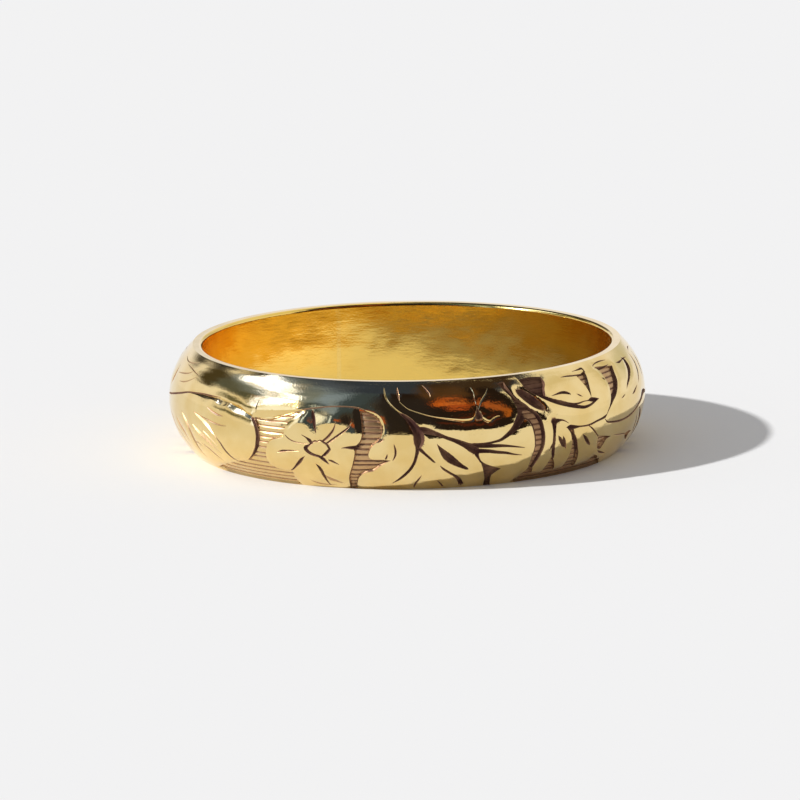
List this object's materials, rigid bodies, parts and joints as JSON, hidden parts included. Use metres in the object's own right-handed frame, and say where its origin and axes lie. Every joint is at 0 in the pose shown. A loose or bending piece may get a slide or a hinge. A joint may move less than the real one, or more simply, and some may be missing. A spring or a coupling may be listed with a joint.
{
  "type": "wedding band",
  "caption": "Domed gold finger ring, flat and smooth inside, engraved outside with leaves, flowers and scrolls on a hatched ground, made as a strip closed by a solder joint.",
  "frame": {"origin": "middle of the lower rim's plane, on the axis of the finger hole", "axes": "+Z along the finger hole from the lower rim to the upper rim; -Y towards the side that is seen in front, so the solder joint is at the back, 20 degrees to the left of +Y seen from the front"},
  "size_m": [0.0202, 0.0202, 0.0045],
  "materials": {
    "gold_strip": "polished yellow gold with engraved relief, darkened in the cuts",
    "gold_solder": "polished yellow gold solder, slightly paler than the strip"
  },
  "bodies": {
    "root": {"band": "gold_strip", "solder_seam": "gold_solder"}
  },
  "joints": []
}
